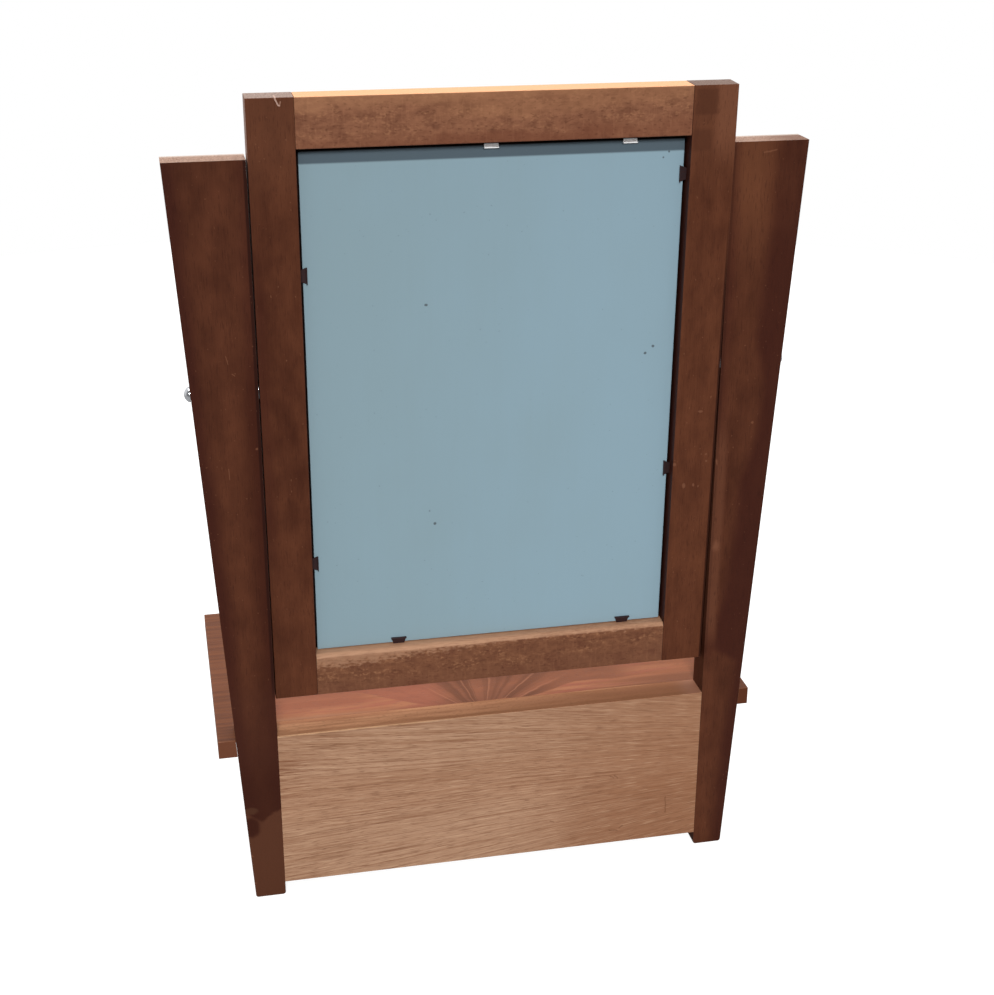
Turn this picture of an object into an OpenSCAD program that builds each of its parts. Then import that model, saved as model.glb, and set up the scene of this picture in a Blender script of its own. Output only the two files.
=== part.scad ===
// Swing mirror on a low drawer base, to stand on a dressing table.
// Millimetres. The sitter's side faces -Y, the back faces +Y and +X is the sitter's right.
// The origin is on the floor, under the centre of the box that encloses the whole object.

/* [Mirror frame] */
// Width of the mirror frame over its two stiles
mirror_w = 402; // [340:1:460]
// Height of the mirror frame
mirror_h = 537; // [480:1:600]
// Thickness of the mirror frame, front to rear
mirror_t = 22.5; // [21:0.5:28]
// Width of each stile on the rear face
stile_w = 38; // [32:0.5:50]
// Height of the top rail on the rear face
top_rail_h = 41; // [32:0.5:55]
// Height of the bottom rail on the rear face
bottom_rail_h = 40.5; // [32:0.5:55]
// Width of the lip that covers the edge of the glass in front
lip_w = 8; // [5:0.5:12]
// Depth of the backing board below the rear face of the frame
backing_recess = 10.3; // [8.5:0.1:12]
// Radius of the worn inner edge of the bottom rail, at the rear
worn_edge_r = 5; // [1:0.5:8]
// Length of the tenons that join the rails to the stiles
tenon_l = 22; // [12:1:28]
// Thickness of those tenons
tenon_t = 7; // [5:0.5:9]
// Shoulder above and below each tenon
tenon_shoulder = 7; // [4:0.5:10]

/* [Mirror glass and backing] */
// Thickness of the mirror glass
glass_t = 4; // [3:0.5:6]
// Thickness of the painted backing board
backing_t = 3; // [2:0.5:5]
// Gap round the glass, inside the frame
glass_gap = 1; // [0.5:0.25:2]
// Gap at each side of the backing board, inside the frame
backing_side_gap = 2.5; // [0.5:0.25:4]
// Gap above the backing board, inside the frame
backing_top_gap = 4; // [0.5:0.25:5]
// Half width of a glazing point at its free edge
point_half_w = 7; // [5:0.5:9]
// Half width of a glazing point where it enters the wood
point_waist = 5; // [3:0.5:6]
// Reach of a glazing point over the backing
point_reach = 6; // [4:0.5:9]
// Length of its barb in the wood
point_barb = 7; // [4:0.5:10]
// Thickness of a glazing point
point_t = 0.9; // [0.6:0.1:1.4]
// Height of the turned-up edge that a glazing point is pushed by
point_lip = 2.4; // [1.5:0.1:4]
// Glazing points on the right stile: one this far below the top rail, one this far above the bottom rail
right_points = [105.5, 87.5]; // [20:0.5:160]
// Glazing points on the left stile, measured the same way
left_points = [33.5, 154.5]; // [20:0.5:160]
// Glazing points on the top rail: one this far from the right stile, one this far from the left stile
top_points = [159, 50]; // [20:0.5:160]
// Glazing points on the bottom rail, measured the same way
bottom_points = [76.5, 38.5]; // [20:0.5:160]

/* [Pivots] */
// Height of the pivot above the lower edge of the mirror frame
pivot_drop = 293.5; // [260:0.5:310]
// Backward lean of the mirror as it stands, in degrees
mirror_lean = 1.6; // [0:0.1:5]
// Gap between the mirror frame and each upright
frame_gap = 1; // [0.75:0.25:5]
// Radius of the pivot bolts
bolt_r = 3; // [2.5:0.25:4]
// Length of thread inside each stile
thread_l = 13; // [8:1:20]
// Radius of the domed knobs
knob_r = 6.5; // [5:0.25:9]
// Height of the straight rim of a knob
knob_rim = 1.2; // [0.8:0.1:2]
// Height of the dome above the rim
knob_dome = 4; // [2.5:0.25:6]
// Radius of the pivot washers
washer_r = 10; // [5:0.1:11]
// Wall of the brass sleeves and of the threaded inserts
sleeve_wall = 1.5; // [1:0.1:2.5]

/* [Uprights] */
// Height of the uprights
upright_h = 694; // [640:1:740]
// Thickness of the uprights, front to rear
upright_t = 26.5; // [24:0.5:34]
// Width of each upright at the top
upright_top_w = 66.5; // [50:0.5:80]
// Width of each upright at the floor
upright_foot_w = 28; // [24:0.5:36]
// Radius of the worn corners of each foot
foot_round = 2.5; // [1:0.5:5]

/* [Base] */
// Height of the top surface above the floor
top_h = 171.5; // [150:0.5:200]
// Thickness of the top board
top_t = 17; // [14:0.5:22]
// Depth of the top board, from the rear plane to its front edge
top_d = 266; // [230:1:300]
// Overhang of the top board past each upright, at the sides
side_overhang = 12.5; // [6:0.5:20]
// Distance that the top board sits off centre, towards the sitter's right
top_shift = 3.5; // [0:0.5:5]
// Overhang of the top board past the front of the box
front_overhang = 21; // [6:1:25]
// Radius of the rounded upper front edge of the top board
top_edge_r = 5; // [2:0.5:8]
// Clearance between the top board and the mirror frame
base_clear = 34.5; // [24:0.5:60]
// Height of the box above the floor
foot_h = 13.5; // [6:0.5:18]
// Thickness of the box sides
side_t = 18; // [15:0.5:22]
// Thickness of the bottom board
bottom_t = 8; // [6:0.5:12]
// Height of the bottom board above the lower edge of the box
bottom_raise = 8; // [4:0.5:14]
// Depth of the grooves that hold the bottom board
groove_d = 5; // [3:0.5:7]
// Thickness of the front rail, front to rear
rail_t = 18; // [14:0.5:24]
// Thickness of the tenon at each end of the front rail
rail_tenon_t = 8; // [5:0.5:9]
// Height of the cleats under the top board
cleat_h = 16; // [14:0.5:20]
// Width of the cleats
cleat_w = 20; // [14:0.5:26]
// Radius of the front feet
front_foot_r = 9; // [7:0.5:9]
// Radius of the wooden dowels
dowel_r = 4; // [3:0.25:5]
// Length that a dowel enters each piece
dowel_in = 14; // [8:0.5:16]

/* [Drawer] */
// Gap round the drawer front
drawer_gap = 1; // [0.6:0.1:2]
// Thickness of the drawer front
drawer_front_t = 18; // [15:0.5:22]
// Thickness of the drawer sides and back
drawer_wall = 9; // [7:0.5:12]
// Thickness of the drawer bottom
drawer_bottom_t = 4; // [3:0.5:6]
// Height of the drawer bottom above the lower edge of the drawer sides
drawer_bottom_raise = 8; // [6.5:0.5:12]
// Depth of the grooves that hold the drawer bottom
drawer_groove = 4; // [2.5:0.5:5]
// Length that the drawer sides enter the drawer front
drawer_lap = 10; // [6:0.5:12]
// Gap behind the closed drawer
drawer_rear_gap = 8; // [4:0.5:20]
// Gap between the drawer sides and the cleats above them
drawer_top_gap = 3; // [1:0.5:8]
// Thickness of the two blocks that stop the drawer
stop_t = 5; // [3:0.5:5]
// Distance of each drawer knob from the middle
pull_x = 110; // [70:1:150]
// Radius of the drawer knobs
pull_r = 14; // [10:0.5:18]
// Distance that the drawer knobs stand forward
pull_l = 22; // [20:0.5:30]
// Radius of the rounded rim of a drawer knob
pull_rim_r = 4; // [2:0.5:5]
// Radius of the neck of a drawer knob
pull_neck_r = 7; // [5:0.5:8]

/* [Screws and fits] */
// Radius of the wood screws
screw_r = 2; // [1.5:0.25:2.5]
// Radius of a screw head
screw_head_r = 4; // [3.5:0.25:5]
// Length of a screw in the second piece
screw_bite = 12; // [8:0.5:13]
// Radial clearance of a turning bolt in its bore
turn_fit = 0.05; // [0.02:0.01:0.1]
// Clearance round glued, screwed and pressed pieces
glue_fit = 0.05; // [0.02:0.01:0.1]
// Clearance between pieces that move past each other
move_fit = 0.3; // [0.2:0.05:0.6]

/* [Hidden] */
$fn = 48;
// Length by which a cut runs past the face that it opens
past = 1;
// Rim of the flat seat that is cut for each pivot knob in the slanting side of its upright
seat_rim = 0.6;
// Length and width of the drawer stops
stop_l = 10;
stop_w = 30;
// Height of the shallow dome on a drawer knob's face
face_rise = 2;
// Height of the head of a drawer knob's screw
pull_head_l = 2.5;
// Taper of a front foot, and the room round the screw head sunk in it
foot_taper = 1.5;
sink_room = 0.5;
// Length of a threaded insert past the end of the bolt's thread
insert_past = 2;
// Straight lines that make up each short arc of an outline
arc_steps = 6;
// The cleat screws stop short of the upper surface of a thin top board
screw_tip_gap = max(0, screw_bite + 3 - top_t);

// Heights
pivot_z = top_h + base_clear + pivot_drop;
top_above_pivot = mirror_h - pivot_drop;
box_top_z = top_h - top_t;
bottom_z = foot_h + bottom_raise;
floor_z = bottom_z + bottom_t;
front_low_z = floor_z + drawer_gap;
front_high_z = box_top_z - drawer_gap;
drawer_z = floor_z + move_fit;
drawer_side_top = box_top_z - cleat_h - drawer_top_gap;
drawer_bottom_z = drawer_z + drawer_bottom_raise;
pull_z = (front_low_z + front_high_z) / 2;

// Widths, each from the middle
frame_x = mirror_w / 2;
opening_x = frame_x - stile_w;
glass_x = opening_x - glass_gap;
backing_x = opening_x - backing_side_gap;
upright_x = frame_x + frame_gap;
side_x = upright_x + side_t;
side_mid_x = upright_x + side_t / 2;
top_half_w = upright_out(top_h) + side_overhang;
drawer_x = upright_x - drawer_gap;
drawer_in_x = drawer_x - drawer_wall;

// Depths, each forward of the rear plane of the uprights
pivot_d = mirror_t / 2;
box_d = top_d - front_overhang;
front_inside_d = box_d - drawer_front_t;
drawer_rear_d = upright_t + drawer_rear_gap;
stop_rear_d = front_inside_d - move_fit - stop_l;
foot_d = box_d - front_foot_r;

// The rear plane stands so far back that the enclosing box is centred on the origin
front_reach = max(top_d, box_d + pull_l);
rear_reach = max(0, mirror_t / 2 * cos(mirror_lean) + top_above_pivot * sin(mirror_lean) - pivot_d);
rear_y = (front_reach - rear_reach) / 2;
pivot_y = rear_y - pivot_d;

// Parts of the mirror frame's section
lip_t = mirror_t - backing_recess - backing_t - glass_t;
lip_rear_y = lip_t - mirror_t / 2;
glass_rear_y = lip_rear_y + glass_t;
backing_rear_y = glass_rear_y + backing_t;
frame_low = -pivot_drop;
frame_high = top_above_pivot;
opening_low = frame_low + bottom_rail_h;
opening_high = frame_high - top_rail_h;
glass_low = opening_low + glass_gap;
glass_high = opening_high - glass_gap;
backing_high = opening_high - backing_top_gap;

// Pivot hardware
seat_x = upright_out(pivot_z - knob_r - seat_rim);
sleeve_r = bolt_r + turn_fit + sleeve_wall;
insert_l = thread_l + insert_past;
foot_screw_sink = foot_h / 2;

walnut = [0.30, 0.16, 0.11];
rail_brown = [0.49, 0.30, 0.19];
figured = [0.66, 0.40, 0.29];
oak = [0.68, 0.52, 0.40];
plain_wood = [0.80, 0.68, 0.50];
chrome = [0.82, 0.83, 0.85];
brass = [0.78, 0.63, 0.33];
dark_steel = [0.22, 0.16, 0.16];

// Outer edge of an upright at a height above the floor
function upright_out(z) = upright_x + upright_foot_w + (upright_top_w - upright_foot_w) * z / upright_h;

// Points of an arc round a centre, from one angle to another
function arc(centre, r, from, to) =
    [for (i = [0:arc_steps]) let (a = from + i * (to - from) / arc_steps) centre + r * [cos(a), sin(a)]];

// A square-edged piece: x from low to high, depth forward of the rear plane, and z
module block(x, d, z) {
    translate([x[0], rear_y - d[1], z[0]]) cube([x[1] - x[0], d[1] - d[0], z[1] - z[0]]);
}

// A cylinder along +X from a point given by x, depth and z
module rod_x(x, d, z, r, l) {
    translate([x, rear_y - d, z]) rotate([0, 90, 0]) cylinder(r = r, h = l);
}

// A cylinder along +Y whose front end is at the given depth
module rod_y(x, d, z, r, l) {
    translate([x, rear_y - d, z]) rotate([-90, 0, 0]) cylinder(r = r, h = l);
}

// A countersunk wood screw that points up from its head
module wood_screw(clamped, extra = 0) {
    cylinder(r = screw_r + extra, h = clamped + screw_bite + extra);
    cylinder(r1 = screw_head_r + extra, r2 = screw_r + extra, h = screw_head_r - screw_r);
}

// Moves the pieces of the mirror from their pivot frame to the stand
module at_pivot() {
    translate([0, pivot_y, pivot_z]) rotate([-mirror_lean, 0, 0]) children();
}

// A section in Y and Z, drawn out along X and centred
module along_x(length) {
    rotate([90, 0, 90]) linear_extrude(length, center = true) children();
}

// Uprights

// Outline of the right upright, with worn foot corners
module upright_outline() {
    slope = atan((upright_top_w - upright_foot_w) / upright_h);
    polygon(concat(
        arc([upright_x + foot_round, foot_round], foot_round, 180, 270),
        arc([upright_out(0) - foot_round, foot_round], foot_round, 270, 360 - slope),
        [[upright_out(upright_h), upright_h], [upright_x, upright_h]]
    ));
}

// Holes of the dowels that join the box sides to the uprights
module side_dowel_set(extra = 0) {
    for (k = [1, 2])
        rod_y(side_mid_x, upright_t + dowel_in + extra, foot_h + (box_top_z - foot_h) * k / 3,
            dowel_r + extra, 2 * (dowel_in + extra));
}

// Holes of the dowels that join the back board to an upright
module back_dowel_set(extra = 0) {
    for (k = [1, 3, 5])
        rod_x(upright_x - dowel_in - extra, upright_t / 2, foot_h + (top_h - foot_h) * k / 6,
            dowel_r + extra, 2 * (dowel_in + extra));
}

module upright_shape() {
    difference() {
        translate([0, rear_y, 0]) rotate([90, 0, 0]) linear_extrude(upright_t) upright_outline();
        rod_x(upright_x - past, pivot_d, pivot_z, sleeve_r + glue_fit, upright_top_w);
        rod_x(seat_x, pivot_d, pivot_z, knob_r + seat_rim, upright_top_w);
        side_dowel_set(glue_fit);
        back_dowel_set(glue_fit);
    }
}

module right_upright() {
    color(walnut) upright_shape();
}

module left_upright() {
    color(walnut) mirror([1, 0, 0]) upright_shape();
}

// Base

module top_section() {
    difference() {
        translate([rear_y - top_d, box_top_z]) square([top_d, top_t]);
        translate([rear_y - top_d, top_h - top_edge_r]) square(top_edge_r);
    }
    translate([rear_y - top_d + top_edge_r, top_h - top_edge_r]) circle(top_edge_r);
}

// Notch in the top board, which fits closely round the slanting sides of the uprights
module upright_notch() {
    low = box_top_z - past;
    high = top_h + past;
    low_x = upright_out(low) + glue_fit;
    high_x = upright_out(high) + glue_fit;
    translate([0, rear_y + past, 0]) rotate([90, 0, 0]) linear_extrude(upright_t + past)
        polygon([[-low_x, low], [low_x, low], [high_x, high], [-high_x, high]]);
}

module top_board() {
    color(figured) difference() {
        translate([top_shift, 0, 0]) along_x(2 * top_half_w) top_section();
        upright_notch();
        cleat_screw_set(glue_fit);
    }
}

module back_board() {
    color(oak) difference() {
        block([-upright_x, upright_x], [0, upright_t], [foot_h, top_h]);
        bottom_board_shape(glue_fit);
        for (m = [0, 1]) mirror([m, 0, 0]) back_dowel_set(glue_fit);
    }
}

module side_shape() {
    difference() {
        block([upright_x, side_x], [upright_t, box_d], [foot_h, box_top_z]);
        bottom_board_shape(glue_fit);
        rail_tenon(glue_fit);
        side_dowel_set(glue_fit);
        foot_screw_set(glue_fit);
    }
}

module right_side() {
    color(figured) side_shape();
}

module left_side() {
    color(figured) mirror([1, 0, 0]) side_shape();
}

// The bottom board lies in grooves in the box sides, and its narrower rear edge in one in the back board
module bottom_board_shape(extra = 0) {
    x = upright_x + groove_d + extra;
    rear_x = upright_x + extra;
    z = [bottom_z - extra, floor_z + extra];
    block([-x, x], [upright_t, box_d - rail_t], z);
    block([-rear_x, rear_x], [upright_t - groove_d - extra, upright_t + past], z);
}

module bottom_board() {
    color(plain_wood) bottom_board_shape();
}

// Tenon through the whole length of the front rail, which enters both box sides
module rail_tenon(extra = 0) {
    x = upright_x + groove_d + extra;
    mid_d = box_d - rail_t / 2;
    half_t = rail_tenon_t / 2 + extra;
    edge = (floor_z - foot_h) / 5 - extra;
    block([-x, x], [mid_d - half_t, mid_d + half_t], [foot_h + edge, floor_z - edge]);
}

module front_rail() {
    color(figured) {
        block([-upright_x, upright_x], [box_d - rail_t, box_d], [foot_h, floor_z]);
        rail_tenon();
    }
}

// Screws that hold each cleat up against the top board
module cleat_screw_set(extra = 0) {
    for (m = [0, 1], k = [1, 3, 5])
        mirror([m, 0, 0])
        translate([upright_x - cleat_w / 2, rear_y - upright_t - (front_inside_d - upright_t) * k / 6,
            box_top_z - cleat_h])
        wood_screw(cleat_h - screw_tip_gap, extra);
}

module cleat_shape() {
    difference() {
        block([upright_x - cleat_w, upright_x], [upright_t, front_inside_d - move_fit],
            [box_top_z - cleat_h, box_top_z]);
        cleat_screw_set(glue_fit);
    }
}

module right_cleat() {
    color(plain_wood) cleat_shape();
}

module left_cleat() {
    color(plain_wood) mirror([1, 0, 0]) cleat_shape();
}

module cleat_screws() {
    color(brass) cleat_screw_set();
}

module drawer_stops() {
    color(plain_wood) for (m = [0, 1]) mirror([m, 0, 0])
        block([pull_x - stop_w / 2, pull_x + stop_w / 2],
            [stop_rear_d, stop_rear_d + stop_l], [floor_z, floor_z + stop_t]);
}

// Screw that comes up through a front foot, and its counterbore in the foot
module foot_screw_set(extra = 0) {
    translate([side_mid_x, rear_y - foot_d, foot_screw_sink])
        wood_screw(foot_h - foot_screw_sink, extra);
}

module front_foot_shape() {
    difference() {
        translate([side_mid_x, rear_y - foot_d, 0])
            cylinder(r1 = front_foot_r - foot_taper, r2 = front_foot_r, h = foot_h);
        foot_screw_set(glue_fit);
        translate([side_mid_x, rear_y - foot_d, -past])
            cylinder(r = screw_head_r + sink_room, h = foot_screw_sink + past);
    }
}

module right_front_foot() {
    color(walnut) front_foot_shape();
}

module left_front_foot() {
    color(walnut) mirror([1, 0, 0]) front_foot_shape();
}

module foot_screws() {
    color(brass) for (m = [0, 1]) mirror([m, 0, 0]) foot_screw_set();
}

module side_dowels() {
    color(plain_wood) for (m = [0, 1]) mirror([m, 0, 0]) side_dowel_set();
}

module back_dowels() {
    color(plain_wood) for (m = [0, 1]) mirror([m, 0, 0]) back_dowel_set();
}

// Pivots

module sleeve_shape() {
    difference() {
        rod_x(upright_x, pivot_d, pivot_z, sleeve_r, seat_x - upright_x);
        rod_x(upright_x - past, pivot_d, pivot_z, bolt_r + turn_fit, seat_x - upright_x + 2 * past);
    }
}

module right_pivot_sleeve() {
    color(brass) sleeve_shape();
}

module left_pivot_sleeve() {
    color(brass) mirror([1, 0, 0]) sleeve_shape();
}

module washer_shape() {
    difference() {
        rod_x(frame_x + move_fit, pivot_d, pivot_z, washer_r, frame_gap - move_fit);
        rod_x(frame_x, pivot_d, pivot_z, bolt_r + turn_fit, frame_gap + past);
    }
}

module right_pivot_washer() {
    color(chrome) washer_shape();
}

module left_pivot_washer() {
    color(chrome) mirror([1, 0, 0]) washer_shape();
}

// Domed head outside the upright, with the bolt that runs through to the stile
module knob_shape() {
    dome_r = (knob_r * knob_r + knob_dome * knob_dome) / (2 * knob_dome);
    translate([frame_x - thread_l, pivot_y, pivot_z]) rotate([0, 90, 0]) {
        cylinder(r = bolt_r, h = seat_x + move_fit + knob_rim - frame_x + thread_l);
        translate([0, 0, seat_x + move_fit - frame_x + thread_l]) {
            cylinder(r = knob_r, h = knob_rim);
            translate([0, 0, knob_rim]) intersection() {
                translate([0, 0, knob_dome - dome_r]) sphere(dome_r);
                cylinder(r = knob_r, h = knob_dome);
            }
        }
    }
}

module right_pivot_knob() {
    color(chrome) knob_shape();
}

module left_pivot_knob() {
    color(chrome) mirror([1, 0, 0]) knob_shape();
}

// Mirror frame, drawn round its pivot axis: +Y to the rear, +Z up

module insert_bore(r) {
    translate([frame_x - insert_l, 0, 0]) rotate([0, 90, 0]) cylinder(r = r, h = insert_l + past);
}

// Section of a rail in Y and Z. The sign of up points from the opening to the frame's outer edge.
module rail_section(outer_z, rail_h, up) {
    low = min(outer_z, outer_z - up * rail_h);
    lip_low = min(outer_z, outer_z - up * (rail_h + lip_w));
    translate([-mirror_t / 2, lip_low]) square([lip_t, rail_h + lip_w]);
    translate([-mirror_t / 2, low]) square([mirror_t, rail_h]);
}

// A rail, which runs from stile to stile
module rail_shape(outer_z, rail_h, up) {
    along_x(2 * opening_x) rail_section(outer_z, rail_h, up);
}

module tenon(outer_z, rail_h, up, extra = 0) {
    x = opening_x + tenon_l + extra;
    low = min(outer_z, outer_z - up * rail_h) + tenon_shoulder - extra;
    translate([-x, (lip_rear_y + mirror_t / 2 - tenon_t) / 2 - extra, low])
        cube([2 * x, tenon_t + 2 * extra, rail_h - 2 * tenon_shoulder + 2 * extra]);
}

// A stile, whose lip runs between the lips of the two rails
module stile_shape() {
    lip_low = opening_low + lip_w;
    lip_high = opening_high - lip_w;
    difference() {
        union() {
            translate([opening_x, -mirror_t / 2, frame_low]) cube([stile_w, mirror_t, mirror_h]);
            translate([opening_x - lip_w, -mirror_t / 2, lip_low]) cube([lip_w, lip_t, lip_high - lip_low]);
        }
        insert_bore(sleeve_r + glue_fit);
        tenon(frame_high, top_rail_h, 1, glue_fit);
        tenon(frame_low, bottom_rail_h, -1, glue_fit);
    }
}

module right_stile() {
    color(walnut) at_pivot() stile_shape();
}

module left_stile() {
    color(walnut) at_pivot() mirror([1, 0, 0]) stile_shape();
}

module top_rail() {
    color(rail_brown) at_pivot() {
        rail_shape(frame_high, top_rail_h, 1);
        tenon(frame_high, top_rail_h, 1);
    }
}

// The bottom rail is worn round along its upper rear edge
module bottom_rail() {
    color(rail_brown) at_pivot() {
        difference() {
            rail_shape(frame_low, bottom_rail_h, -1);
            along_x(mirror_w)
                translate([mirror_t / 2 - worn_edge_r, opening_low - worn_edge_r])
                difference() {
                    square(worn_edge_r + past);
                    circle(worn_edge_r);
                }
        }
        tenon(frame_low, bottom_rail_h, -1);
    }
}

module mirror_glass() {
    color(chrome) at_pivot() translate([-glass_x, lip_rear_y, glass_low])
        cube([2 * glass_x, glass_t, glass_high - glass_low]);
}

module backing_board() {
    color([0.54, 0.64, 0.68]) at_pivot() translate([-backing_x, glass_rear_y, glass_low])
        cube([2 * backing_x, backing_t, backing_high - glass_low]);
}

// A push-in point that enters the wood along -Y of its own plane and reaches over the backing along +Y
module glazing_point() {
    linear_extrude(point_t) polygon([
        [0, -point_barb], [point_waist, 0], [point_half_w, point_reach],
        [-point_half_w, point_reach], [-point_waist, 0]
    ]);
    translate([-point_half_w, point_reach - point_t, 0]) cube([2 * point_half_w, point_t, point_lip]);
}

// A glazing point at a place in the frame's opening, turned so that it reaches inwards
module point_at(x, z, turn) {
    translate([x, backing_rear_y, z]) rotate([-90, 0, 0]) rotate([0, 0, turn]) glazing_point();
}

module glazing_points() {
    color(dark_steel) at_pivot() {
        point_at(opening_x, opening_high - right_points[0], 90);
        point_at(opening_x, opening_low + right_points[1], 90);
        point_at(-opening_x, opening_high - left_points[0], -90);
        point_at(-opening_x, opening_low + left_points[1], -90);
        point_at(opening_x - bottom_points[0], opening_low, 180);
        point_at(bottom_points[1] - opening_x, opening_low, 180);
    }
}

module top_glazing_points() {
    color(chrome) at_pivot() {
        point_at(opening_x - top_points[0], opening_high, 0);
        point_at(top_points[1] - opening_x, opening_high, 0);
    }
}

module insert_shape() {
    difference() {
        translate([frame_x - insert_l, 0, 0]) rotate([0, 90, 0]) cylinder(r = sleeve_r, h = insert_l);
        insert_bore(bolt_r + turn_fit);
    }
}

module right_insert() {
    color(brass) at_pivot() insert_shape();
}

module left_insert() {
    color(brass) at_pivot() mirror([1, 0, 0]) insert_shape();
}

// Drawer

module drawer_bottom_shape(extra = 0) {
    x = drawer_in_x + drawer_groove + extra;
    block([-x, x], [drawer_rear_d - extra, front_inside_d + drawer_groove + extra],
        [drawer_bottom_z - extra, drawer_bottom_z + drawer_bottom_t + extra]);
}

// Machine screws that come through the drawer front into the knobs
module pull_screw(extra = 0) {
    translate([pull_x, rear_y - front_inside_d + pull_head_l, pull_z]) rotate([90, 0, 0]) {
        cylinder(r = screw_head_r, h = pull_head_l);
        cylinder(r = screw_r + extra, h = pull_head_l + drawer_front_t + screw_bite + extra);
    }
}

module drawer_front() {
    color(figured) difference() {
        block([-drawer_x, drawer_x], [front_inside_d, box_d], [front_low_z, front_high_z]);
        for (m = [0, 1]) mirror([m, 0, 0]) {
            // The sides end in rebates at the two ends of the front
            block([drawer_in_x - glue_fit, drawer_x + past],
                [front_inside_d - past, front_inside_d + drawer_lap],
                [front_low_z - past, front_high_z + past]);
            pull_screw(glue_fit);
        }
        drawer_bottom_shape(glue_fit);
    }
}

module drawer_side_piece() {
    difference() {
        block([drawer_in_x, drawer_x], [drawer_rear_d, front_inside_d + drawer_lap],
            [drawer_z, drawer_side_top]);
        drawer_bottom_shape(glue_fit);
    }
}

module drawer_right_side() {
    color(plain_wood) drawer_side_piece();
}

module drawer_left_side() {
    color(plain_wood) mirror([1, 0, 0]) drawer_side_piece();
}

module drawer_back() {
    color(plain_wood) block([-drawer_in_x, drawer_in_x], [drawer_rear_d, drawer_rear_d + drawer_wall],
        [drawer_bottom_z + drawer_bottom_t, drawer_side_top]);
}

module drawer_bottom() {
    color(plain_wood) drawer_bottom_shape();
}

// Half section of a turned knob: a neck, a rounded rim and a shallow face
module pull_section() {
    rim_z = pull_l - pull_rim_r - face_rise;
    face_r = (pow(pull_r - pull_rim_r, 2) + face_rise * face_rise) / (2 * face_rise);
    square([pull_neck_r, rim_z]);
    translate([0, rim_z - pull_rim_r]) square([pull_r - pull_rim_r, 2 * pull_rim_r]);
    translate([pull_r - pull_rim_r, rim_z]) circle(pull_rim_r);
    translate([0, pull_l - face_r]) intersection() {
        circle(face_r);
        translate([0, face_r - face_rise]) square([pull_r - pull_rim_r, face_rise]);
    }
}

module pull_shape() {
    difference() {
        translate([pull_x, rear_y - box_d, pull_z]) rotate([90, 0, 0]) rotate_extrude() pull_section();
        pull_screw(glue_fit);
    }
}

module right_drawer_knob() {
    color(walnut) pull_shape();
}

module left_drawer_knob() {
    color(walnut) mirror([1, 0, 0]) pull_shape();
}

module drawer_knob_screws() {
    color(brass) for (m = [0, 1]) mirror([m, 0, 0]) pull_screw();
}

right_upright();
left_upright();
top_board();
back_board();
right_side();
left_side();
bottom_board();
front_rail();
right_cleat();
left_cleat();
drawer_stops();
right_front_foot();
left_front_foot();
side_dowels();
back_dowels();
cleat_screws();
foot_screws();
right_pivot_sleeve();
left_pivot_sleeve();
right_pivot_washer();
left_pivot_washer();
right_stile();
left_stile();
top_rail();
bottom_rail();
mirror_glass();
backing_board();
glazing_points();
top_glazing_points();
right_insert();
left_insert();
right_pivot_knob();
left_pivot_knob();
drawer_front();
drawer_right_side();
drawer_left_side();
drawer_back();
drawer_bottom();
right_drawer_knob();
left_drawer_knob();
drawer_knob_screws();
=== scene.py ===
"""Finishes, light and camera for a swing mirror on a low drawer base."""
import math

import bmesh
import bpy
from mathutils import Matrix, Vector


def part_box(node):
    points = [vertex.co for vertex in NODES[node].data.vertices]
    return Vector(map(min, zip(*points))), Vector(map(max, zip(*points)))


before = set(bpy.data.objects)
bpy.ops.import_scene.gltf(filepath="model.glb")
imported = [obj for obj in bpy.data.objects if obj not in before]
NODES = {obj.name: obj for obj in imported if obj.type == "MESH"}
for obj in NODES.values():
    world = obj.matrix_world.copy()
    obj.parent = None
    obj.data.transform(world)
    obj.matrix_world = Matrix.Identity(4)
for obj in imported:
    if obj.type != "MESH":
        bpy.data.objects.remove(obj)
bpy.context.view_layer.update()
MM = 1000.0  # millimetres in a metre
X, Y, Z = 0, 1, 2

# Camera: its place in metres, its turn about X, Y and Z in degrees, and its lens and sensor in mm
CAMERA_PLACE = (0.27845, 1.43486, 0.94523)
CAMERA_TURN = (67.4041, -0.2153, 168.0002)
CAMERA_LENS = 59.365
CAMERA_SENSOR = 36.0

# Lamps: name, elevation, azimuth from the rear towards +X, apparent size, all in degrees, and strength
LAMPS = (
    ("rear_key", 30.0, 8.0, 12.0, 2.35),
    ("front_overhead", 78.0, 180.0, 50.0, 2.6),
)
LAMP_DISTANCE = 3.0
# The sky's light, and how bright reflections see it behind and in front, which blend where y is small
SKY_STRENGTH = 0.25
SKY_REAR = 0.2
SKY_FRONT = 0.85
SKY_BLEND = 0.3
# The floor: its radius in metres, its tint, and a glow for the camera alone that keeps its shadows faint
FLOOR_RADIUS = 2.5
FLOOR_SIDES = 96
FLOOR_TINT = 0.32
FLOOR_CLOUDS = 0.02
FLOOR_GLOW = 0.86

# Softened arrises: segments, the angles in degrees under which faces join into one and over which an edge
# is rounded, and the distance in metres within which vertices join
BEVEL_SEGMENTS = 3
FLAT_ANGLE = 1.0
SHARP_ANGLE = 40.0
WELD_DISTANCE = 1e-6

# Places on the object, in mm: rear and upper face of the back board, edges of the uprights
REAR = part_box("back_board")[1].y * MM
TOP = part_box("back_board")[1].z * MM
INNER_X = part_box("right_upright")[0].x * MM
UPRIGHT_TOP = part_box("right_upright")[1].z * MM
UPRIGHT_TOP_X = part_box("right_upright")[1].x * MM
UPRIGHT_FOOT_X = 230.0
# The top rail's shadow is painted across the backing as a dark band
SHADOW_BAND_LOW = 688.0  # lower edge of the dark band across the backing, under the top rail
TOP_POINTS_X = (4.0, -113.0)  # middles of the two points under the top rail

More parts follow.
